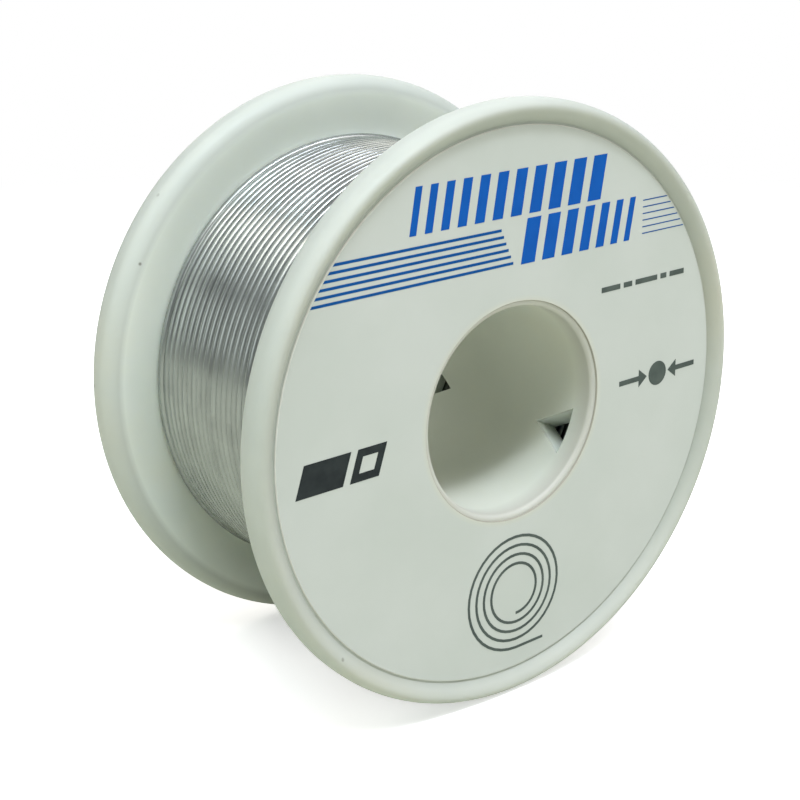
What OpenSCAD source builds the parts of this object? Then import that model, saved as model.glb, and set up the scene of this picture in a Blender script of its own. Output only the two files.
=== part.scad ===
// Solder wire spool: a one-piece moulded spool, a full winding of solder wire
// and a round label in the recess of the front flange.
// Millimetres. The origin is the centre of the bore, halfway between the flanges.
// +Y runs along the bore from the labelled flange to the plain one, and +Z is up.

/* [Spool] */
// Outer diameter of both flanges
flange_d = 55; // [52:0.5:70]
// Overall width, from rim crest to rim crest
spool_w = 28.8; // [24:0.1:40]
// Thickness of a flange at its rim, from the crest to the winding side
rim_t = 3.5; // [3.2:0.1:5]
// Thickness of the web, between the recess floor and the winding
web_t = 1.5; // [1:0.1:2]
// Diameter of the spindle bore
bore_d = 19.2; // [12:0.2:22]
// Wall of the hub, between the bore and the wire
hub_wall = 2.8; // [1.6:0.1:3.5]
// Radius of the rounded mouth at each end of the bore
mouth_r = 0.45; // [0.2:0.05:0.8]

/* [Rim and recess] */
// Radial width of the rim, from the edge of the recess floor outwards
rim_w = 2; // [1.8:0.05:3]
// Depth of the recess floor below the rim crest
recess_depth = 1; // [0.6:0.05:1.5]
// How far the rim's inner side leans outwards on its way up
rim_lean = 0.1; // [0.1:0.05:0.6]
// Radial half width of the rounding on the rim's outer side
rim_round_r = 1.1; // [0.6:0.05:1.15]
// Axial height of the rounding on the rim's outer side
rim_round_y = 1.6; // [0.8:0.05:1.6]
// Axial height of the rounding on the rim's inner side, at most the depth of the recess
crest_round_y = 0.9; // [0.2:0.05:1]
// Radius of the rounded flange edge on the winding side
edge_round = 1.5; // [0.4:0.05:1.5]
// Gap between the winding's outer edge and the foot of the slope that rises to the rim
slope_gap = 0.25; // [0.1:0.05:1]

/* [Hub windows] */
// Width of each triangular window, at its base
window_w = 4.6; // [3:0.1:6]
// Length of each window along the hub, from base to tip
window_l = 4.2; // [2.5:0.1:6]
// Hub wall left between the front window's base and its flange
front_inset = 0.6; // [0.1:0.05:3]
// Hub wall left between the rear window's base and its flange
rear_inset = 1.9; // [0.1:0.05:3]
// Direction of the windows round the hub, from +X towards +Z, in degrees
window_angle = -26; // [-90:1:90]

/* [Winding] */
// Diameter over the full winding
wound_d = 43.5; // [40:0.5:47]
// Diameter of the solder wire
wire_d = 0.8; // [0.6:0.1:1]
// Least free gap between neighbouring loops of the outer layer
loop_gap = 0.42; // [0.41:0.01:1.5]
// Clearance between the wound wire and the spool, at the hub and at both flanges
wire_fit = 0.1; // [0.05:0.01:0.3]
// Clearance between the inner layers and the loops of the outer layer
layer_fit = 0.05; // [0.02:0.01:0.2]
// Direction in which both ends of the outer layer dip into the layer below, in degrees
tuck_angle = 40; // [0:5:355]
// Clearance round a wire end in the pocket that it dips into
tuck_fit = 0.1; // [0.05:0.01:0.2]

/* [Label] */
// Thickness of the label
label_t = 0.15; // [0.1:0.01:0.3]
// Gap between the label's outer edge and the foot of the rim
label_edge_gap = 0.2; // [0.1:0.05:1]
// Gap between the label's hole and the rounded mouth of the bore
label_hole_gap = 0.05; // [0.02:0.01:0.5]

/* [Hidden] */
$fn = 144;

flange_r = flange_d / 2;
bore_r = bore_d / 2;
hub_r = bore_r + hub_wall;
half_w = spool_w / 2;
floor_y = half_w - recess_depth;
web_y = floor_y - web_t;
rim_y = half_w - rim_t;
recess_r = flange_r - rim_w;
lean_r = recess_r + rim_lean;
crest_r = flange_r - rim_round_r;
crest_h = min(crest_round_y, recess_depth);
slope_r = wound_d / 2 + slope_gap;

wire_r = wire_d / 2;

// A loop has 24 straight chords, whose middles lie closer to the axis than its corners
loop_steps = 24;
max_loops = 24;
loop_r = wound_d / 2 - wire_r;
chord_r = loop_r * cos(180 / loop_steps);
wound_half_w = web_y - wire_fit;
first_y = -wound_half_w + wire_r;
loops_run = 2 * (wound_half_w - wire_r);
loops = min(max_loops, floor(loops_run / (wire_d + loop_gap)));
loop_rings = loops * loop_steps;
loop_slope = loops_run / (2 * PI * loop_r * loops);

// Each end of the wire turns inwards, then runs straight for one wire diameter
tube_sides = 6;
bend_steps = 3;
bend_r = wire_d;
tuck_run = wire_d;
tuck_r = loop_r - bend_r - tuck_run;
tuck_half_w = wire_r + tuck_fit;
tuck_len = bend_r + wire_r + tuck_fit;

inner_layers_r = chord_r - wire_r - layer_fit;

window_start = bore_r - window_w / 2;
cut_over = 0.5;

rim_arc_steps = 8;
crest_arc_steps = 6;
mouth_arc_steps = 5;
// Angle at which the rim's outer rounding takes over from its inner one, in degrees
rim_arc_from = 80;

// ---- profile and path functions ----

// Points of an elliptical arc round c, with half axes a and b
function arc(c, a, b, from, to, steps) =
    [for (i = [0:steps]) let (t = from + (to - from) * i / steps) c + [a * cos(t), b * sin(t)]];

// Half of the spool's section, as [radius, distance from the middle], from the bore outwards
function half_section() = concat(
    arc([bore_r + mouth_r, floor_y - mouth_r], mouth_r, mouth_r, 180, 90, mouth_arc_steps),
    [[recess_r, floor_y]],
    arc([crest_r, half_w - crest_h], crest_r - lean_r, crest_h, 180, 90, crest_arc_steps),
    arc([crest_r, half_w - rim_round_y], rim_round_r, rim_round_y, rim_arc_from, 0, rim_arc_steps),
    arc([flange_r - edge_round, rim_y + edge_round], edge_round, edge_round, 0, -90, rim_arc_steps),
    [[slope_r, web_y], [hub_r, web_y]]
);

// The other half, in reverse order, so that both halves make one outline
function mirrored(points) =
    [for (i = [len(points) - 1:-1:0]) [points[i][0], -points[i][1]]];

// Unit vectors away from the axis and along a loop, at an angle from +X towards +Z
function outward(angle) = [cos(angle), 0, sin(angle)];
function onward(angle) = [-sin(angle), 0, cos(angle)];

function unit(v) = v / norm(v);

// Centre of the tube and its heading at one ring of the helix
function loop_station(k) =
    let (angle = tuck_angle + 360 * k / loop_steps)
    [
        loop_r * outward(angle) + [0, first_y + loops_run * k / loop_rings, 0],
        unit(onward(angle) + [0, loop_slope, 0])
    ];

// Bend and straight run at one end of the wire: side is -1 at the start and 1 at the end
function tuck_stations(side) =
    let (
        angle = tuck_angle,
        y = side < 0 ? first_y : first_y + loops_run,
        centre = (loop_r - bend_r) * outward(angle) + [0, y, 0],
        foot = centre + side * bend_r * onward(angle)
    )
    concat(
        [for (i = [1:bend_steps])
            let (t = 90 * i / bend_steps)
            [
                centre + bend_r * (side * sin(t) * onward(angle) + cos(t) * outward(angle)),
                cos(t) * onward(angle) - side * sin(t) * outward(angle)
            ]],
        [[foot - tuck_run * outward(angle), -side * outward(angle)]]
    );

function reversed(list) = [for (i = [len(list) - 1:-1:0]) list[i]];

stations = concat(
    reversed(tuck_stations(-1)),
    [for (k = [0:loop_rings]) loop_station(k)],
    tuck_stations(1)
);

// One ring of the tube, square to its heading
function ring(station) =
    let (
        u = unit(cross(station[1], [0, 1, 0])),
        v = cross(station[1], u)
    )
    [for (s = [0:tube_sides - 1])
        let (t = 360 * s / tube_sides)
        station[0] + wire_r * (cos(t) * u + sin(t) * v)];

function flat(lists) = [for (list = lists) for (item = list) item];

// Least distance between the wire's surface and itself, from one loop to the next
half_loop = loop_steps / 2;
least_gap = min([
    for (i = [0:len(stations) - 1])
        for (j = [i + half_loop:1:len(stations) - 1])
            norm(stations[i][0] - stations[j][0])
]) - wire_d;
echo(loops = loops, least_gap_mm = least_gap);

// ---- shapes ----

// A body turned round the Y axis
module turned(outline) {
    rotate([90, 0, 0])
        rotate_extrude()
            polygon(outline);
}

// A plain ring round the Y axis
module sleeve(outer_r, inner_r, from_y, to_y) {
    turned([[inner_r, -from_y], [outer_r, -from_y], [outer_r, -to_y], [inner_r, -to_y]]);
}

// A triangular prism through the hub wall, its base at base_y and its tip at tip_y
module window_cut(base_y, tip_y) {
    rotate([0, 90 - window_angle, 0])
        translate([0, 0, window_start])
            linear_extrude(hub_r + cut_over - window_start)
                polygon([[-window_w / 2, base_y], [window_w / 2, base_y], [0, tip_y]]);
}

// The pocket that one end of the wire dips into
module tuck_pocket(side) {
    y = side < 0 ? first_y : first_y + loops_run;
    rotate([0, -tuck_angle, 0])
        translate([tuck_r, y - tuck_half_w, side < 0 ? -tuck_len : 0])
            cube([inner_layers_r - tuck_r + cut_over, 2 * tuck_half_w, tuck_len]);
}

module spool_body() {
    color("#dfe3dc")
        difference() {
            turned(concat(half_section(), mirrored(half_section())));
            window_cut(front_inset - web_y, front_inset - web_y + window_l);
            window_cut(web_y - rear_inset, web_y - rear_inset - window_l);
        }
}

module wire_inner_layers() {
    color("#8f9394")
        difference() {
            sleeve(inner_layers_r, hub_r + wire_fit, -wound_half_w, wound_half_w);
            tuck_pocket(-1);
            tuck_pocket(1);
        }
}

module wire_outer_layer() {
    rings = [for (station = stations) ring(station)];
    last = len(rings) - 1;
    n = tube_sides;
    sides = flat([
        for (k = [0:last - 1])
            for (s = [0:n - 1])
                let (a = k * n + s, b = k * n + (s + 1) % n)
                [[a, a + n, b + n], [a, b + n, b]]
    ]);
    first_cap = [for (s = [1:n - 2]) [0, s, s + 1]];
    last_cap = [for (s = [1:n - 2]) [last * n, last * n + s + 1, last * n + s]];
    color("#b9bcbf")
        polyhedron(flat(rings), concat(sides, first_cap, last_cap));
}

module front_label() {
    color("#c5cbc3")
        sleeve(recess_r - label_edge_gap, bore_r + mouth_r + label_hole_gap, -floor_y - label_t, -floor_y);
}

spool_body();
wire_inner_layers();
wire_outer_layer();
front_label();
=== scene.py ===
from math import cos, hypot, pi, radians, sin, sqrt

import bmesh
import bpy
from mathutils import Matrix, Vector


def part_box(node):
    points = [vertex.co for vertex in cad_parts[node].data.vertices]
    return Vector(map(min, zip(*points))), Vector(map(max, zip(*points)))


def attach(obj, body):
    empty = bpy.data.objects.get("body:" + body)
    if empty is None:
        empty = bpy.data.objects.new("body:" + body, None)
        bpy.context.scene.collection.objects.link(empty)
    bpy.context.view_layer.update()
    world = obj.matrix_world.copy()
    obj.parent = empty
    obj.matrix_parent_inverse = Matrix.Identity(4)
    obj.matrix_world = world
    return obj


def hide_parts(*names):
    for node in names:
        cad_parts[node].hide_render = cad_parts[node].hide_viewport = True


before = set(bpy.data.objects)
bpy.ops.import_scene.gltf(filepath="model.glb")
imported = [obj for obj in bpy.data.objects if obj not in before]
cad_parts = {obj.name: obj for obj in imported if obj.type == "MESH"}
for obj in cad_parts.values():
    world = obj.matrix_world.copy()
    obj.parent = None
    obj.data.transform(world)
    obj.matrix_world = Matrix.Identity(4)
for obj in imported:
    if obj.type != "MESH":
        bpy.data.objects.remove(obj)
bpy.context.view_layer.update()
mm = 0.001  # everything is in metres


def linear(hexColor):
    # sRGB hex to the linear colour that a shader socket takes
    channels = [int(hexColor[i:i + 2], 16) / 255 for i in (1, 3, 5)]
    return [c / 12.92 if c <= 0.04045 else ((c + 0.055) / 1.055) ** 2.4 for c in channels] + [1.0]


def addNode(tree, kind, settings=None, inputs=None):
    # a node with its settings and its sockets: a tuple (node, output) is a link, anything else a value
    node = tree.nodes.new(kind)
    for key, value in (settings or {}).items():
        setattr(node, key, value)
    for key, value in (inputs or {}).items():
        if isinstance(value, tuple) and isinstance(value[0], bpy.types.Node):
            tree.links.new(value[0].outputs[value[1]], node.inputs[key])
        else:
            node.inputs[key].default_value = value
    return node


def newMaterial(name):
    material = bpy.data.materials.new(name)
    material.use_nodes = True
    material.node_tree.nodes.clear()
    return material, material.node_tree


def finishMaterial(tree, shader):
    output = tree.nodes.new("ShaderNodeOutputMaterial")
    tree.links.new(shader.outputs[0], output.inputs["Surface"])


def setRamp(node, stops):
    # the colours of a ramp, as (place, colour) from its left end to its right end
    ramp = node.color_ramp
    while len(ramp.elements) < len(stops):
        ramp.elements.new(1.0)
    for element, (place, color) in zip(ramp.elements, stops):
        element.position = place
        element.color = color
    return node


def meshFrom(bm, name):
    mesh = bpy.data.meshes.new(name)
    bm.to_mesh(mesh)
    bm.free()
    return mesh


def smoothMesh(mesh, sharpAngle):
    mesh.shade_smooth()
    mesh.set_sharp_from_angle(angle=radians(sharpAngle))


def makePiece(name, mesh, materials, sharpAngle=35):
    # a piece that rides the one body, with every edge smooth that bends less than the angle
    for material in materials:
        mesh.materials.append(material)
    smoothMesh(mesh, sharpAngle)
    piece = bpy.data.objects.new(name, mesh)
    bpy.context.scene.collection.objects.link(piece)
    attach(piece, "root")
    return piece


def arcPoints(centre, halfAxes, fromDeg, toDeg, steps):
    angles = [radians(fromDeg + (toDeg - fromDeg) * i / steps) for i in range(steps + 1)]
    return [(centre[0] + halfAxes[0] * cos(a), centre[1] + halfAxes[1] * sin(a)) for a in angles]


def spinOutline(bm, outline, steps):
    # turns a closed outline of (radius, y) points once round the Y axis
    verts = [bm.verts.new((r, y, 0)) for r, y in outline]
    edges = [bm.edges.new((verts[i], verts[(i + 1) % len(verts)])) for i in range(len(verts))]
    bmesh.ops.spin(bm, geom=verts + edges, cent=(0, 0, 0), axis=(0, 1, 0), angle=2 * pi,
                   steps=steps, use_merge=True, use_duplicate=False)
    bmesh.ops.remove_doubles(bm, verts=bm.verts, dist=1e-7)
    bmesh.ops.recalc_face_normals(bm, faces=bm.faces)


# sizes that the pieces share, read from the frame
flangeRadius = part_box("spool_body")[1][0]
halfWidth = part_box("spool_body")[1][1]
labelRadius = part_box("front_label")[1][0]
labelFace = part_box("front_label")[0][1]
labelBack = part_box("front_label")[1][1]


cameraValues = {
    "place": (-0.08198, -0.10292, 0.04037),
    "look": (0.58157, 0.75282, -0.30829),
    "lens": 64.68,
    "sensor": 36.0,
    "clip": (0.005, 50.0),
}


def makeCamera():
    v = cameraValues
    data = bpy.data.cameras.new("camera")
    data.lens = v["lens"]
    data.sensor_width = v["sensor"]
    data.clip_start, data.clip_end = v["clip"]
    camera = bpy.data.objects.new("camera", data)
    camera.location = v["place"]
    camera.rotation_mode = "QUATERNION"
    camera.rotation_quaternion = Vector(v["look"]).to_track_quat("-Z", "Y")
    bpy.context.scene.collection.objects.link(camera)
    bpy.context.scene.camera = camera
    print("camera placed")


makeCamera()


def addRadius(tree, coords):
    # how far a point lies from the bore's axis
    flat = addNode(tree, "ShaderNodeVectorMath", {"operation": "MULTIPLY"}, {
        0: (coords, "Object"), 1: (1.0, 0.0, 1.0)})
    return addNode(tree, "ShaderNodeVectorMath", {"operation": "LENGTH"}, {0: (flat, 0)})


plasticLook = {
    # the zone tints: bore, rim, face and corner are painted shade, darker than the plastic; the lightest
    # tint, on the flange faces between the rims, is painted light
    "bore": "#D9DAD1", "paintedLight": "#ECEFE8", "rim": "#C8CBC5", "face": "#BBBCB4", "corner": "#B4B6AE",
    # where the tints change, as shares of the flange's radius: in the groove, and on the outer faces
    "grooveTints": ((0.355, "bore"), (0.365, "paintedLight"), (0.935, "paintedLight"), (0.955, "rim")),
    "faceTints": ((0.355, "bore"), (0.365, "paintedLight"), (0.9, "paintedLight"), (0.922, "corner"),
                  (0.93, "corner"), (0.945, "face"), (0.975, "face"), (0.998, "rim")),
    "faceFrom": 12.0 * mm, "faceTo": 12.5 * mm,
    "cool": "#F3F7F4", "plain": "#FCFFFC", "warm": "#FFFEF5", "cloudSize": 18.18 * mm,
    # specks lie about this far apart, in patches, and fade from their core to their edge
    "speck": "#5E5C50", "speckApart": 2.6316 * mm, "speckPatch": 6.6667 * mm,
    "speckCore": 0.1316 * mm, "speckEdge": 0.2368 * mm, "speckFrom": 26.2 * mm,
    "mouth": "#C0C0B6", "mouthReach": 10.2 * mm, "mouthDepth": 1.6 * mm,
    "peelSize": 1.1111 * mm, "peelDepth": 0.04 * mm,
    "glowDepth": 1.4 * mm,
    "roughness": 0.5,
}


def spoolPlastic():
    # white polypropylene, injection moulded: satin skin, a soft glow in thin walls, faint clouds of
    # tint, painted shade that darkens the bore, the rims, the bead faces and the corner round the label,
    # painted light that lightens the flange faces between the rims, a creamy mouth where spindles rub,
    # and a few dark specks of workshop dirt on the rims
    v = plasticLook
    material, tree = newMaterial("mouldedPolypropylene")
    coords = addNode(tree, "ShaderNodeTexCoord")
    cloudy = addNode(tree, "ShaderNodeTexNoise", {}, {
        "Vector": (coords, "Object"), "Scale": 1 / v["cloudSize"], "Detail": 3.0, "Roughness": 0.55})
    clouds = setRamp(addNode(tree, "ShaderNodeValToRGB", {}, {"Fac": (cloudy, "Fac")}), [
        (0.35, linear(v["cool"])), (0.55, linear(v["plain"])), (0.75, linear(v["warm"]))])
    radius = addRadius(tree, coords)
    parts = addNode(tree, "ShaderNodeSeparateXYZ", {}, {0: (coords, "Object")})
    height = addNode(tree, "ShaderNodeMath", {"operation": "ABSOLUTE"}, {0: (parts, "Y")})
    reach = addNode(tree, "ShaderNodeMapRange", {"clamp": True}, {
        "Value": (radius, "Value"), "From Min": 0.0, "From Max": flangeRadius})
    groove = setRamp(addNode(tree, "ShaderNodeValToRGB", {}, {"Fac": (reach, 0)}),
                     [(share, linear(v[name])) for share, name in v["grooveTints"]])
    outside = setRamp(addNode(tree, "ShaderNodeValToRGB", {}, {"Fac": (reach, 0)}),
                      [(share, linear(v[name])) for share, name in v["faceTints"]])
    onFace = addNode(tree, "ShaderNodeMapRange", {"clamp": True}, {
        "Value": (height, 0), "From Min": v["faceFrom"], "From Max": v["faceTo"]})
    # painted light and shade by zone: the groove's tints between the flanges, the outer tints on the
    # outer faces
    paintedLightShadeAndSoil = addNode(tree, "ShaderNodeMix", {"data_type": "RGBA"}, {
        0: (onFace, 0), 6: (groove, 0), 7: (outside, 0)})
    tint = addNode(tree, "ShaderNodeMix", {"data_type": "RGBA", "blend_type": "MULTIPLY"}, {
        0: 1.0, 6: (paintedLightShadeAndSoil, 2), 7: (clouds, 0)})
    specks = addNode(tree, "ShaderNodeTexVoronoi", {"feature": "F1"}, {
        "Vector": (coords, "Object"), "Scale": 1 / v["speckApart"], "Randomness": 1.0})
    speckSize = addNode(tree, "ShaderNodeMapRange", {"clamp": True}, {
        "Value": (specks, "Distance"), "From Min": v["speckCore"] / v["speckApart"],
        "From Max": v["speckEdge"] / v["speckApart"], "To Min": 1.0, "To Max": 0.0})
    patches = addNode(tree, "ShaderNodeTexNoise", {}, {
        "Vector": (coords, "Object"), "Scale": 1 / v["speckPatch"], "Detail": 0.0})
    rare = addNode(tree, "ShaderNodeMapRange", {"clamp": True}, {
        "Value": (patches, "Fac"), "From Min": 0.5, "From Max": 0.56,
        "To Min": 0.0, "To Max": 0.8})
    onRim = addNode(tree, "ShaderNodeMath", {"operation": "GREATER_THAN"}, {
        0: (radius, "Value"), 1: v["speckFrom"]})
    chosen = addNode(tree, "ShaderNodeMath", {"operation": "MULTIPLY"}, {
        0: (speckSize, 0), 1: (rare, 0)})
    speckMask = addNode(tree, "ShaderNodeMath", {"operation": "MULTIPLY"}, {
        0: (chosen, 0), 1: (onRim, 0)})
    speckled = addNode(tree, "ShaderNodeMix", {"data_type": "RGBA"}, {
        0: (speckMask, 0), 6: (tint, 2), 7: linear(v["speck"])})
    nearEnd = addNode(tree, "ShaderNodeMapRange", {"clamp": True}, {
        "Value": (height, 0), "From Min": halfWidth - 2 * v["mouthDepth"],
        "From Max": halfWidth - v["mouthDepth"]})
    inMouth = addNode(tree, "ShaderNodeMath", {"operation": "LESS_THAN"}, {
        0: (radius, "Value"), 1: v["mouthReach"]})
    mouthMask = addNode(tree, "ShaderNodeMath", {"operation": "MULTIPLY"}, {
        0: (nearEnd, 0), 1: (inMouth, 0)})
    color = addNode(tree, "ShaderNodeMix", {"data_type": "RGBA"}, {
        0: (mouthMask, 0), 6: (speckled, 2), 7: linear(v["mouth"])})
    peel = addNode(tree, "ShaderNodeTexNoise", {}, {
        "Vector": (coords, "Object"), "Scale": 1 / v["peelSize"], "Detail": 2.0})
    bump = addNode(tree, "ShaderNodeBump", {}, {
        "Height": (peel, "Fac"), "Strength": 0.1, "Distance": v["peelDepth"]})
    shader = addNode(tree, "ShaderNodeBsdfPrincipled", {}, {
        "Base Color": (color, 2), "Roughness": v["roughness"], "IOR": 1.49, "Normal": (bump, 0),
        "Subsurface Weight": 0.3, "Subsurface Radius": (1.0, 0.95, 0.8),
        "Subsurface Scale": v["glowDepth"]})
    finishMaterial(tree, shader)
    return material


solderLook = {
    "dull": "#979B98", "bright": "#AFB4B0",
    "streakWidth": 0.6667 * mm, "streakDepth": 0.02 * mm,
    "streakStretch": 0.03, "turnRadius": 21.35 * mm,
    "hazeSize": 3.8462 * mm,
    "roughLow": 0.16, "roughHigh": 0.26,
    "metallic": 0.68,
}


def solderWire():
    # tin-lead solder, drawn: bright soft grey metal with streaks along the wire, under a thin film of
    # dull oxide that scatters a part of the light. The real streaks are a few hundredths of a millimetre
    # wide, too fine to show, so these are drawn coarser
    v = solderLook
    material, tree = newMaterial("drawnTinLeadSolder")
    coords = addNode(tree, "ShaderNodeTexCoord")
    parts = addNode(tree, "ShaderNodeSeparateXYZ", {}, {0: (coords, "Object")})
    radius = addRadius(tree, coords)
    turned = addNode(tree, "ShaderNodeMath", {"operation": "ARCTAN2"}, {
        0: (parts, "Z"), 1: (parts, "X")})
    along = addNode(tree, "ShaderNodeMath", {"operation": "MULTIPLY"}, {
        0: (turned, 0), 1: v["turnRadius"] * v["streakStretch"]})
    drawn = addNode(tree, "ShaderNodeCombineXYZ", {}, {
        "X": (along, 0), "Y": (parts, "Y"), "Z": (radius, "Value")})
    streaks = addNode(tree, "ShaderNodeTexNoise", {}, {
        "Vector": (drawn, 0), "Scale": 1 / v["streakWidth"], "Detail": 3.0, "Roughness": 0.6})
    haze = addNode(tree, "ShaderNodeTexNoise", {}, {
        "Vector": (coords, "Object"), "Scale": 1 / v["hazeSize"], "Detail": 4.0, "Roughness": 0.6})
    worn = addNode(tree, "ShaderNodeMix", {"data_type": "FLOAT"}, {
        0: 0.45, 2: (streaks, "Fac"), 3: (haze, "Fac")})
    tint = setRamp(addNode(tree, "ShaderNodeValToRGB", {}, {"Fac": (worn, 0)}), [
        (0.35, linear(v["dull"])), (0.62, linear(v["bright"]))])
    rough = addNode(tree, "ShaderNodeMapRange", {"clamp": True}, {
        "Value": (worn, 0), "From Min": 0.35, "From Max": 0.65,
        "To Min": v["roughLow"], "To Max": v["roughHigh"]})
    bump = addNode(tree, "ShaderNodeBump", {}, {
        "Height": (streaks, "Fac"), "Strength": 0.06, "Distance": v["streakDepth"]})
    shader = addNode(tree, "ShaderNodeBsdfPrincipled", {}, {
        "Base Color": (tint, 0), "Metallic": v["metallic"], "Roughness": (rough, 0),
        "Normal": (bump, 0)})
    finishMaterial(tree, shader)
    return material


paperLook = {
    "dark": "#BEC3BC", "light": "#C3C7C1", "mottleSize": 8.3333 * mm,
    "paintedLightShadeAndSoil": "#C6C7BA", "handledFrom": 10.2 * mm, "handledTo": 10.7 * mm,
    "fibreSize": 0.6667 * mm, "fibreDepth": 0.02 * mm,
    "roughness": 0.46,
}


def labelStock():
    # coated paper label: smooth, slightly glossy, with a very faint mottle, creamy round its hole. Its
    # fibres are too fine to show, so they are drawn coarser
    v = paperLook
    material, tree = newMaterial("coatedPaperLabel")
    coords = addNode(tree, "ShaderNodeTexCoord")
    mottle = addNode(tree, "ShaderNodeTexNoise", {}, {
        "Vector": (coords, "Object"), "Scale": 1 / v["mottleSize"], "Detail": 3.0})
    tint = setRamp(addNode(tree, "ShaderNodeValToRGB", {}, {"Fac": (mottle, "Fac")}), [
        (0.35, linear(v["dark"])), (0.7, linear(v["light"]))])
    radius = addRadius(tree, coords)
    paintedLightShadeAndSoil = addNode(tree, "ShaderNodeMapRange", {"clamp": True}, {
        "Value": (radius, "Value"), "From Min": v["handledFrom"], "From Max": v["handledTo"],
        "To Min": 0.8, "To Max": 0.0})
    color = addNode(tree, "ShaderNodeMix", {"data_type": "RGBA"}, {
        0: (paintedLightShadeAndSoil, 0), 6: (tint, 0), 7: linear(v["paintedLightShadeAndSoil"])})
    fibre = addNode(tree, "ShaderNodeTexNoise", {}, {
        "Vector": (coords, "Object"), "Scale": 1 / v["fibreSize"], "Detail": 3.0})
    bump = addNode(tree, "ShaderNodeBump", {}, {
        "Height": (fibre, "Fac"), "Strength": 0.06, "Distance": v["fibreDepth"]})
    shader = addNode(tree, "ShaderNodeBsdfPrincipled", {}, {
        "Base Color": (color, 2), "Roughness": v["roughness"], "IOR": 1.5, "Normal": (bump, 0)})
    finishMaterial(tree, shader)
    return material


edgeLook = {
    "dark": "#DCDBD3", "light": "#E4E4DD", "fibreSize": 0.8333 * mm,
    "soiled": "#A29F92",
    "roughness": 0.8,
}


def labelEdge():
    # the cut edge of the label, where the bare paper core shows as a thin cream line, soiled at the
    # hole. Its fibres are drawn coarser too
    v = edgeLook
    material, tree = newMaterial("cutPaperEdge")
    coords = addNode(tree, "ShaderNodeTexCoord")
    fibre = addNode(tree, "ShaderNodeTexNoise", {}, {
        "Vector": (coords, "Object"), "Scale": 1 / v["fibreSize"], "Detail": 3.0})
    tint = setRamp(addNode(tree, "ShaderNodeValToRGB", {}, {"Fac": (fibre, "Fac")}), [
        (0.3, linear(v["dark"])), (0.7, linear(v["light"]))])
    atHole = addNode(tree, "ShaderNodeMath", {"operation": "LESS_THAN"}, {
        0: (addRadius(tree, coords), "Value"), 1: labelRadius / 2})
    color = addNode(tree, "ShaderNodeMix", {"data_type": "RGBA"}, {
        0: (atHole, 0), 6: (tint, 0), 7: linear(v["soiled"])})
    shader = addNode(tree, "ShaderNodeBsdfPrincipled", {}, {
        "Base Color": (color, 2), "Roughness": v["roughness"]})
    finishMaterial(tree, shader)
    return material


inkLook = {
    "blueOffsetInk": ("#0251A6", "#0455AC"),
    "navyOffsetInk": ("#044B8C", "#084F92"),
    "blackOffsetInk": ("#23282A", "#2C3233"),
    "greyOffsetInk": ("#4A534F", "#545D58"),
    "unevenSize": 1.4286 * mm,
    "roughness": 0.55,
    "gloss": 0.15,
}


def printInk(name):
    # offset printing ink: flat colour with a faint unevenness of the film
    v = inkLook
    dark, light = v[name]
    material, tree = newMaterial(name)
    coords = addNode(tree, "ShaderNodeTexCoord")
    uneven = addNode(tree, "ShaderNodeTexNoise", {}, {
        "Vector": (coords, "Object"), "Scale": 1 / v["unevenSize"], "Detail": 3.0})
    tint = setRamp(addNode(tree, "ShaderNodeValToRGB", {}, {"Fac": (uneven, "Fac")}), [
        (0.35, linear(dark)), (0.65, linear(light))])
    shader = addNode(tree, "ShaderNodeBsdfPrincipled", {}, {
        "Base Color": (tint, 0), "Roughness": v["roughness"], "Specular IOR Level": v["gloss"]})
    finishMaterial(tree, shader)
    return material


plastic = spoolPlastic()
solder = solderWire()
paper = labelStock()
paperEdge = labelEdge()
blueInk = printInk("blueOffsetInk")
navyInk = printInk("navyOffsetInk")
blackInk = printInk("blackOffsetInk")
greyInk = printInk("greyOffsetInk")
print("materials made")


spoolValues = {
    "boreRadius": 9.6 * mm,
    "mouthRadius": 0.45 * mm,
    "hubWall": 2.8 * mm,
    "webThickness": 1.5 * mm,
    "recessDepth": 1.0 * mm,
    "rimThickness": 3.5 * mm,
    "rimWidth": 2.0 * mm,
    "rimRoundRadial": 0.8 * mm,
    "rimRoundAxial": 1.6 * mm,
    "rimArcFrom": 82,
    "edgeRound": 1.5 * mm,
    "arcSteps": 12,
    "boreSteps": 6,
    "slopeFoot": 22.0 * mm,
    # the slope from the rim to the web, as (share of the way inwards, share of the fall)
    "slopeShape": ((0.04, 0.01), (0.1, 0.06), (0.3, 0.27), (0.5, 0.5), (0.7, 0.73), (0.9, 0.94),
                   (1, 1)),
    "steps": 240,
    "windowWidth": 4.6 * mm,
    "windowLength": 4.2 * mm,
    "frontInset": 0.6 * mm,
    "rearInset": 1.9 * mm,
    "windowAngle": -26,
    "cutOver": 0.5 * mm,
    "sharpAngle": 35,
}


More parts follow.
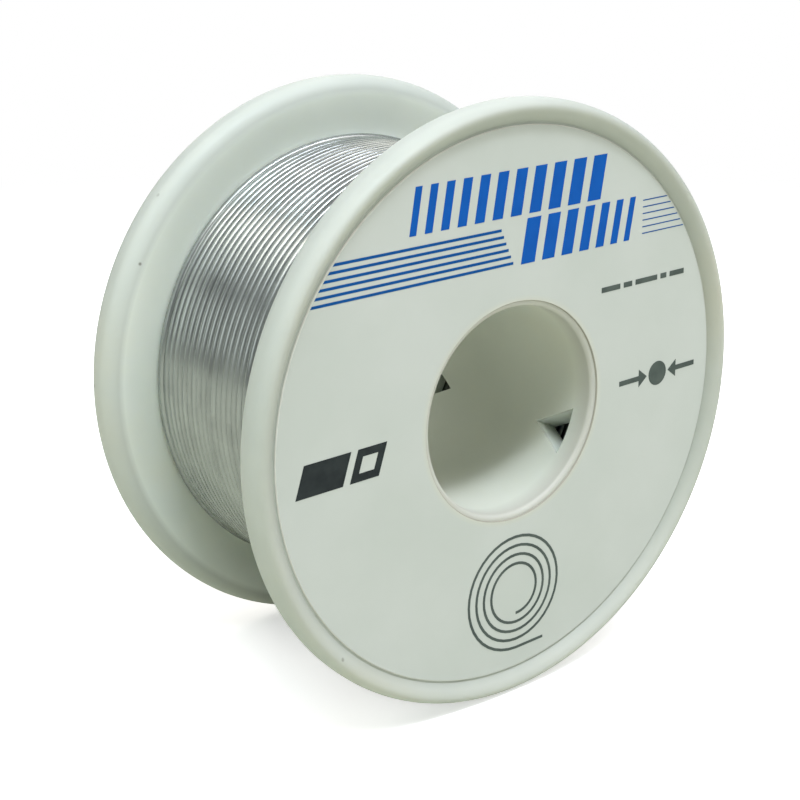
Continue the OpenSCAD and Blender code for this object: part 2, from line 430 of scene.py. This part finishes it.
def spoolHalfSection(v):
    # half of the spool's section, as (radius, y), from the bore outwards
    floorY = halfWidth - v["recessDepth"]
    webY = floorY - v["webThickness"]
    rimY = halfWidth - v["rimThickness"]
    recessRadius = flangeRadius - v["rimWidth"]
    crestRadius = flangeRadius - v["rimRoundRadial"]
    mouth = v["mouthRadius"]
    edge = v["edgeRound"]
    edgeRadius = flangeRadius - edge
    # the rim's bead rises from the recess in a low, wide curve
    bead = []
    for i in range(v["arcSteps"] + 1):
        share = i / v["arcSteps"]
        bead.append((recessRadius + (crestRadius - recessRadius) * share,
                     floorY + v["recessDepth"] * sin(pi / 2 * share)))
    # the winding side of the flange slopes from the rim down to the web, eased at both ends
    slope = []
    for share, fall in v["slopeShape"]:
        slope.append((edgeRadius + (v["slopeFoot"] - edgeRadius) * share, rimY + (webY - rimY) * fall))
    return (
        [(v["boreRadius"], webY * i / v["boreSteps"]) for i in range(1, v["boreSteps"])]
        + arcPoints((v["boreRadius"] + mouth, floorY - mouth), (mouth, mouth), 180, 90,
                    v["arcSteps"] // 2)
        + bead
        + arcPoints((crestRadius, halfWidth - v["rimRoundAxial"]),
                    (v["rimRoundRadial"], v["rimRoundAxial"]), v["rimArcFrom"], 0, v["arcSteps"])
        + arcPoints((edgeRadius, rimY + edge), (edge, edge), 0, -90, v["arcSteps"])
        + slope
        + [(v["boreRadius"] + v["hubWall"], webY)]
    )


def windowCutter(v, baseY, tipY):
    # a triangular prism along +X, turned to the window's direction round the hub
    bm = bmesh.new()
    half = v["windowWidth"] / 2
    startX = v["boreRadius"] - half
    endX = v["boreRadius"] + v["hubWall"] + v["cutOver"]
    corners = [bm.verts.new((startX, y, z)) for y, z in ((baseY, -half), (baseY, half), (tipY, 0))]
    face = bm.faces.new(corners)
    pulled = bmesh.ops.extrude_face_region(bm, geom=[face])
    moved = [item for item in pulled["geom"] if isinstance(item, bmesh.types.BMVert)]
    bmesh.ops.translate(bm, verts=moved, vec=(endX - startX, 0, 0))
    bmesh.ops.rotate(bm, verts=bm.verts, cent=(0, 0, 0),
                     matrix=Matrix.Rotation(-radians(v["windowAngle"]), 3, "Y"))
    bmesh.ops.recalc_face_normals(bm, faces=bm.faces)
    cutter = bpy.data.objects.new("windowCutter", meshFrom(bm, "windowCutter"))
    bpy.context.scene.collection.objects.link(cutter)
    return cutter


def makeSpool():
    v = spoolValues
    half = spoolHalfSection(v)
    bm = bmesh.new()
    spinOutline(bm, half + [(r, -y) for r, y in reversed(half)], v["steps"])
    spool = makePiece("spoolMoulding", meshFrom(bm, "spoolMoulding"), [plastic], v["sharpAngle"])
    webY = halfWidth - v["recessDepth"] - v["webThickness"]
    frontBase = v["frontInset"] - webY
    rearBase = webY - v["rearInset"]
    cutters = [
        windowCutter(v, frontBase, frontBase + v["windowLength"]),
        windowCutter(v, rearBase, rearBase - v["windowLength"]),
    ]
    for cutter in cutters:
        cut = spool.modifiers.new("window", "BOOLEAN")
        cut.operation = "DIFFERENCE"
        cut.solver = "EXACT"
        cut.object = cutter
    depsgraph = bpy.context.evaluated_depsgraph_get()
    mesh = bpy.data.meshes.new_from_object(spool.evaluated_get(depsgraph))
    spool.modifiers.clear()
    spool.data = mesh
    smoothMesh(mesh, v["sharpAngle"])
    for cutter in cutters:
        bpy.data.objects.remove(cutter)
    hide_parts("spool_body")
    print("spool made,", len(mesh.polygons), "faces")


makeSpool()


wireValues = {
    "radius": 0.41 * mm,
    "woundRadius": 21.34 * mm,
    "firstY": -11.4 * mm,
    "pitch": 0.851 * mm,
    "turns": 27,
    "lastY": 11.44 * mm,
    "lastLift": 0.2 * mm,
    "lastTurn": 0.58,
    "startAngle": 60,
    "pointsPerTurn": 120,
    "roundness": 4,
    "wander": 0.014 * mm,
    "dip": 1.0 * mm,
    "dipSpan": 0.035,
    "layerRadius": 20.66 * mm,
    "hubLayerRadius": 14.2 * mm,
    "layerPointsPerTurn": 60,
    "layerRoundness": 2,
    "bulkSteps": 96,
    "sharpAngle": 60,
}


def smooth(t):
    t = min(max(t, 0), 1)
    return t * t * (3 - 2 * t)


def turnPlace(t):
    # distance from the axis and place along it, t turns into the outer layer: each turn lies square to
    # the axis for half of its way and steps over by one pitch in the other half, and the last one rides
    # up where the flange leaves it too little room
    v = wireValues
    turn = int(t)
    rows = [(v["woundRadius"], v["firstY"] + v["pitch"] * k) for k in range(v["turns"])]
    rows.append((v["woundRadius"] + v["lastLift"], v["lastY"]))
    here = rows[min(turn, v["turns"])]
    after = rows[min(turn + 1, v["turns"])]
    share = smooth(2 * (t - turn) - 1)
    return [a + (b - a) * share for a, b in zip(here, after)]


def outerPath():
    v = wireValues
    length = v["turns"] + v["lastTurn"]
    count = round(length * v["pointsPerTurn"])
    path = []
    for i in range(count + 1):
        t = length * i / count
        angle = radians(v["startAngle"]) + 2 * pi * t
        radius, y = turnPlace(t)
        # each turn lies a little off its even place, and both ends dip into the layer below
        y += v["wander"] * (sin(t * 5.3 + 2.1 * cos(angle)) + 0.6 * sin(t * 2.17 + angle * 3 + 1.3))
        radius -= 0.5 * v["wander"] * (1 + sin(t * 3.7 + 1.1 + 1.4 * sin(angle)))
        radius -= v["dip"] * (1 - smooth(min(t, length - t) / v["dipSpan"]))
        path.append((radius * cos(angle), y, radius * sin(angle)))
    return path


def layerPath(radius, fromY, toY):
    v = wireValues
    count = v["turns"] * v["layerPointsPerTurn"]
    angles = [2 * pi * i / v["layerPointsPerTurn"] for i in range(count + 1)]
    return [(radius * cos(a), fromY + (toY - fromY) * i / count, radius * sin(a))
            for i, a in enumerate(angles)]


def tubeMesh(name, path, radius, roundness):
    # a round tube along a path, as a mesh
    curve = bpy.data.curves.new(name, "CURVE")
    curve.dimensions = "3D"
    curve.bevel_depth = radius
    curve.bevel_resolution = roundness
    curve.use_fill_caps = True
    spline = curve.splines.new("POLY")
    spline.points.add(len(path) - 1)
    for point, place in zip(spline.points, path):
        point.co = (*place, 1)
    holder = bpy.data.objects.new(name, curve)
    mesh = bpy.data.meshes.new_from_object(holder)
    bpy.data.objects.remove(holder)
    bpy.data.curves.remove(curve)
    return mesh


def makeOuterWire():
    v = wireValues
    mesh = tubeMesh("wireOuterLayer", outerPath(), v["radius"], v["roundness"])
    wire = makePiece("wireOuterLayer", mesh, [solder], v["sharpAngle"])
    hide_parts("wire_outer_layer")
    print("outer layer wound,", len(mesh.polygons), "faces")


def makeInnerWire():
    # the layer under the outer one, the layer that shows in the hub windows, and the bulk between
    v = wireValues
    reach = v["lastY"]
    bulk = bmesh.new()
    inside = v["hubLayerRadius"] + v["radius"] / 2
    outside = v["layerRadius"] - v["radius"] / 2
    spinOutline(bulk, [(inside, -reach), (outside, -reach), (outside, reach), (inside, reach)],
                v["bulkSteps"])
    for radius, side in ((v["layerRadius"], 1), (v["hubLayerRadius"], -1)):
        path = layerPath(radius, side * reach, -side * reach)
        layer = tubeMesh("layer", path, v["radius"], v["layerRoundness"])
        bulk.from_mesh(layer)
        bpy.data.meshes.remove(layer)
    mesh = meshFrom(bulk, "wireInnerLayers")
    wire = makePiece("wireInnerLayers", mesh, [solder], v["sharpAngle"])
    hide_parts("wire_inner_layers")
    print("inner layers wound,", len(mesh.polygons), "faces")


makeOuterWire()
makeInnerWire()


labelValues = {
    "hole": 10.1 * mm,
    "edgeRound": 0.08 * mm,
    "steps": 240,
}


def makeLabel():
    v = labelValues
    lip = v["edgeRound"]
    outline = [
        (v["hole"], labelBack), (v["hole"], labelFace + lip), (v["hole"] + lip, labelFace),
        (labelRadius - lip, labelFace), (labelRadius, labelFace + lip), (labelRadius, labelBack),
    ]
    bm = bmesh.new()
    spinOutline(bm, outline, v["steps"])
    # faces that look along the axis are label stock, and the others are the cut edge
    for face in bm.faces:
        face.material_index = 1 if abs(face.normal.y) < 0.9 else 0
    label = makePiece("frontLabel", meshFrom(bm, "frontLabel"), [paper, paperEdge])
    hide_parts("front_label")
    print("label made")


makeLabel()


# The marks are drawn in millimetres on the label's face, from the centre of the bore, in a frame that
# is turned a little, as the label is: x to the right and z up.
printValues = {
    "inkProud": 0.02,
    "inkSunk": 0.01,
    "turned": 2.0,
    "margin": 0.12,
}


def drawFlat(bm, points):
    # a filled outline, as thin as ink, that stands just proud of the paper
    proud = labelFace - printValues["inkProud"] * mm
    depth = (printValues["inkProud"] + printValues["inkSunk"]) * mm
    turn = Matrix.Rotation(radians(printValues["turned"]), 2)
    verts = []
    for point in points:
        x, z = turn @ Vector(point)
        verts.append(bm.verts.new((x * mm, proud, z * mm)))
    top = bm.faces.new(verts)
    pulled = bmesh.ops.extrude_face_region(bm, geom=[top])
    moved = [item for item in pulled["geom"] if isinstance(item, bmesh.types.BMVert)]
    bmesh.ops.translate(bm, verts=moved, vec=(0, depth, 0))


def drawSlanted(bm, left, right, low, high, slant, wall=None):
    # a parallelogram, filled or as an outline with walls of even height
    def corner(x, z):
        return x + slant * (z - low), z
    if wall is None:
        drawFlat(bm, [corner(left, low), corner(right, low), corner(right, high), corner(left, high)])
        return
    drawSlanted(bm, left, right, low, low + wall, slant)
    drawFlat(bm, [corner(left, high - wall), corner(right, high - wall),
                  corner(right, high), corner(left, high)])
    for start, end in ((left, left + wall), (right - wall, right)):
        drawFlat(bm, [corner(start, low + wall), corner(end, low + wall),
                      corner(end, high - wall), corner(start, high - wall)])


def drawLine(bm, points, width):
    # a stroke of even width along a path, each joint cut on the bisector
    sides = []
    for i, (x, z) in enumerate(points):
        before = points[max(i - 1, 0)]
        after = points[min(i + 1, len(points) - 1)]
        dx, dz = after[0] - before[0], after[1] - before[1]
        size = hypot(dx, dz)
        nx, nz = -dz / size * width / 2, dx / size * width / 2
        sides.append(((x + nx, z + nz), (x - nx, z - nz)))
    for (a, b), (c, d) in zip(sides, sides[1:]):
        drawFlat(bm, [a, b, d, c])


def finishPrint(name, bm, material):
    bmesh.ops.recalc_face_normals(bm, faces=bm.faces)
    makePiece(name, meshFrom(bm, name), [material])


def edgeX(z):
    # how far from the middle the label's edge lies at a height
    reach = labelRadius / mm - printValues["margin"]
    return sqrt(reach * reach - z * z)


stripeValues = {
    "count": 6,
    "left": {"top": 16.69, "bottom": 13.65, "width": 0.24, "endTop": -1.55, "endBottom": -0.24},
    "right": {"top": 16.80, "bottom": 13.73, "width": 0.1, "start": 15.6},
}


def stripeSpan(side, share):
    z = side["top"] + (side["bottom"] - side["top"]) * share
    return z - side["width"] / 2, z + side["width"] / 2


def makeStripes():
    # level stripes that run from the label's edge to the bars, on both sides
    v = stripeValues
    bm = bmesh.new()
    left, right = v["left"], v["right"]
    for i in range(v["count"]):
        share = i / (v["count"] - 1)
        low, high = stripeSpan(left, share)
        end = left["endTop"] + (left["endBottom"] - left["endTop"]) * share
        drawFlat(bm, [(-edgeX(low), low), (end, low), (end, high), (-edgeX(high), high)])
        low, high = stripeSpan(right, share)
        start = right["start"]
        drawFlat(bm, [(start, low), (edgeX(low), low), (edgeX(high), high), (start, high)])
    finishPrint("navyStripes", bm, navyInk)


barRowValues = {
    "slant": 0.2,
    "upper": {"left": -11.4, "right": 10.9, "low": 17.7, "high": 21.65, "count": 11,
              "first": 0.7, "last": 1.6},
    "lower": {"left": 0.63, "right": 14.65, "low": 13.38, "high": 17.3, "count": 7,
              "first": 1.6, "last": 0.7},
}


def makeBarRows():
    # two rows of slanted bars, one that swells and one that thins out to the right
    bm = bmesh.new()
    slant = barRowValues["slant"]
    for row in (barRowValues["upper"], barRowValues["lower"]):
        steps = row["count"] - 1
        widths = [row["first"] + (row["last"] - row["first"]) * i / steps for i in range(row["count"])]
        room = row["right"] - row["left"] - slant * (row["high"] - row["low"])
        gap = (room - sum(widths)) / steps
        left = row["left"]
        for width in widths:
            drawSlanted(bm, left, left + width, row["low"], row["high"], slant)
            left += width + gap
    finishPrint("blueBars", bm, blueInk)


dashValues = {
    "left": 10.5, "height": 9.25, "lengths": (2.4, 1.1, 2.9, 0.8, 1.95), "gap": 0.45, "width": 0.5,
}


def makeDashes():
    # a broken line, as a place for small print
    v = dashValues
    bm = bmesh.new()
    left = v["left"]
    for size in v["lengths"]:
        drawLine(bm, [(left, v["height"]), (left + size, v["height"])], v["width"])
        left += size + v["gap"]
    finishPrint("greyDashes", bm, greyInk)


gaugeValues = {
    "left": 13.06, "right": 23.4, "height": -0.3, "dot": 1.2, "dotSteps": 32, "gap": 0.25,
    "stroke": 0.5, "head": 1.1, "headSpread": 0.88,
}


def makeGauge():
    # a round wire between two arrows
    v = gaugeValues
    bm = bmesh.new()
    middle = (v["left"] + v["right"]) / 2
    z = v["height"]
    angles = [2 * pi * i / v["dotSteps"] for i in range(v["dotSteps"])]
    drawFlat(bm, [(middle + v["dot"] * cos(a), z + v["dot"] * sin(a)) for a in angles])
    for side, start in ((1, v["left"]), (-1, v["right"])):
        tip = middle - side * (v["dot"] + v["gap"])
        neck = tip - side * v["head"]
        drawLine(bm, [(start, z), (neck, z)], v["stroke"])
        drawFlat(bm, [(tip, z), (neck, z + v["headSpread"]), (neck, z - v["headSpread"])])
    finishPrint("greyGauge", bm, greyInk)


barValues = {
    "left": -23.56, "right": -14.26, "low": -1.85, "high": 0.95, "split": 0.56, "gap": 0.7,
    "slant": 0.35, "wall": 0.7,
}


def makeBar():
    # a bar in two parts, one solid and one open
    v = barValues
    bm = bmesh.new()
    right = v["right"] - v["slant"] * (v["high"] - v["low"])
    split = v["left"] + (right - v["left"]) * v["split"]
    drawSlanted(bm, v["left"], split, v["low"], v["high"], v["slant"])
    drawSlanted(bm, split + v["gap"], right, v["low"], v["high"], v["slant"], v["wall"])
    finishPrint("blackBar", bm, blackInk)


coilValues = {
    "centre": (-0.03, -17.46), "outer": 5.9, "inner": 2.3, "turns": 4, "steps": 40, "width": 0.27,
    "tail": 3.4,
}


def makeCoil():
    # a coil of wire drawn as one spiral line with a loose end
    v = coilValues
    bm = bmesh.new()
    count = v["turns"] * v["steps"]
    cx, cz = v["centre"]
    path = []
    for i in range(count + 1):
        angle = -pi / 2 + 2 * pi * i / v["steps"]
        radius = v["inner"] + (v["outer"] - v["inner"]) * i / count
        path.append((cx + radius * cos(angle), cz + radius * sin(angle)))
    path.append((cx + v["tail"], cz - v["outer"]))
    drawLine(bm, path, v["width"])
    finishPrint("greyCoil", bm, greyInk)


makeStripes()
makeBarRows()
makeDashes()
makeGauge()
makeBar()
makeCoil()
print("print made")


stageValues = {
    "floorSize": 8.0,
    "table": "#CBCDBB",
    "world": "#EEF1F6",
    "worldStrength": 0.05,
    "floorGlow": 0.45,
    "shadowReach": (0.12, 0.3),
}


def whiteMask(tree):
    # 1 for rays straight from the camera, or through something clear, which see plain white. Mirrored
    # rays see the table and the dim studio, which give the wire its dark band
    light = addNode(tree, "ShaderNodeLightPath")
    return addNode(tree, "ShaderNodeMath", {"operation": "MAXIMUM"}, {
        0: (light, "Is Camera Ray"), 1: (light, "Is Transmission Ray")})


def makeFloor():
    # a pale table, white to the camera, that keeps the spool's shadow
    bm = bmesh.new()
    bmesh.ops.create_grid(bm, x_segments=1, y_segments=1, size=stageValues["floorSize"] / 2)
    bmesh.ops.translate(bm, verts=bm.verts, vec=(0, 0, -flangeRadius))
    floor = bpy.data.objects.new("floor", meshFrom(bm, "floor"))
    bpy.context.scene.collection.objects.link(floor)
    material, tree = newMaterial("paleTable")
    table = addNode(tree, "ShaderNodeBsdfPrincipled", {}, {
        "Base Color": linear(stageValues["table"]), "Roughness": 0.7})
    white = addNode(tree, "ShaderNodeBsdfPrincipled", {}, {
        "Base Color": linear("#FFFFFF"), "Roughness": 0.9,
        "Emission Color": linear("#FFFFFF"), "Emission Strength": stageValues["floorGlow"]})
    # away from the spool and its shadow the white is even
    coords = addNode(tree, "ShaderNodeTexCoord")
    away = addNode(tree, "ShaderNodeVectorMath", {"operation": "LENGTH"}, {0: (coords, "Object")})
    near, far = stageValues["shadowReach"]
    fade = addNode(tree, "ShaderNodeMapRange", {"clamp": True, "interpolation_type": "SMOOTHSTEP"}, {
        "Value": (away, "Value"), "From Min": near, "From Max": far})
    plain = addNode(tree, "ShaderNodeEmission", {}, {"Color": linear("#FFFFFF"), "Strength": 1.0})
    backdrop = addNode(tree, "ShaderNodeMixShader", {}, {0: (fade, 0), 1: (white, 0), 2: (plain, 0)})
    mix = addNode(tree, "ShaderNodeMixShader", {}, {
        0: (whiteMask(tree), 0), 1: (table, 0), 2: (backdrop, 0)})
    finishMaterial(tree, mix)
    floor.data.materials.append(material)


def makeWorld():
    # a dim studio round the lamps, white behind the spool
    world = bpy.data.worlds.new("studio")
    bpy.context.scene.world = world
    world.use_nodes = True
    tree = world.node_tree
    tree.nodes.clear()
    glow = addNode(tree, "ShaderNodeBackground", {}, {
        "Color": linear(stageValues["world"]), "Strength": stageValues["worldStrength"]})
    white = addNode(tree, "ShaderNodeBackground", {}, {"Color": linear("#FFFFFF"), "Strength": 1.0})
    mix = addNode(tree, "ShaderNodeMixShader", {}, {
        0: (whiteMask(tree), 0), 1: (glow, 0), 2: (white, 0)})
    output = tree.nodes.new("ShaderNodeOutputWorld")
    tree.links.new(mix.outputs[0], output.inputs["Surface"])


# soft boxes round the spool. The three overhead ones are one narrow strip, which the wire mirrors as
# thin white lines and which lights a patch in the bore
lampValues = {
    "overheadLeft": {
        "place": (-0.31, -0.25, 0.6), "size": (0.27, 0.08), "energy": 0.721, "color": "#FEFFFE"},
    "overheadMiddle": {
        "place": (-0.045, -0.25, 0.6), "size": (0.27, 0.08), "energy": 2.02, "color": "#EFF6FF"},
    "overheadRight": {
        "place": (0.22, -0.25, 0.6), "size": (0.27, 0.08), "energy": 0.9, "color": "#E6EAFA"},
    "highLeft": {
        "place": (-0.193, -0.193, 0.752), "size": (0.3, 0.3), "energy": 0.98, "color": "#CFE6F6"},
    "frontLow": {
        "place": (0.0, -0.761, 0.247), "size": (0.5, 0.3), "energy": 1.88, "color": "#FCFFFE"},
    "frontRight": {
        "place": (0.386, -0.386, 0.585), "size": (0.42, 0.3), "energy": 1.38, "color": "#FBF4F6"},
    "left": {
        "place": (-0.546, 0.0, 0.585), "size": (0.42, 0.3), "energy": 0.83, "color": "#F2FAFF"},
    "leftLow": {
        "place": (-0.761, 0.0, 0.247), "size": (0.5, 0.3), "energy": 0.64, "color": "#F7FFFF"},
    "backRight": {
        "place": (0.386, 0.386, 0.585), "size": (0.42, 0.3), "energy": 1.014, "color": "#FFF9F1"},
    "backLeft": {
        "place": (-0.386, 0.386, 0.585), "size": (0.42, 0.3), "energy": 0.795, "color": "#FCFFF7"},
    "backTop": {
        "place": (0.0, 0.3, 0.75), "size": (0.5, 0.3), "energy": 0.279, "color": "#FFF3ED"},
    "backFill": {
        "place": (0.4, 0.68, 0.15), "size": (0.5, 0.3), "energy": 0.9, "color": "#FFFCF8"},
    "topLeft": {
        "place": (-0.45, 0.05, 0.7), "size": (0.3, 0.3), "energy": 0.95, "color": "#FFF3E7"},
}


def makeLamp(name, v):
    # a soft box that faces the spool
    data = bpy.data.lights.new(name, "AREA")
    data.shape = "RECTANGLE"
    data.size, data.size_y = v["size"]
    data.energy = v["energy"]
    data.color = linear(v["color"])[:3]
    lamp = bpy.data.objects.new(name, data)
    lamp.location = v["place"]
    lamp.rotation_mode = "QUATERNION"
    lamp.rotation_quaternion = (-Vector(v["place"])).to_track_quat("-Z", "Y")
    bpy.context.scene.collection.objects.link(lamp)


makeFloor()
makeWorld()
for lampName, values in lampValues.items():
    makeLamp(lampName, values)
bpy.context.scene.view_settings.view_transform = "Standard"
print("stage lit")
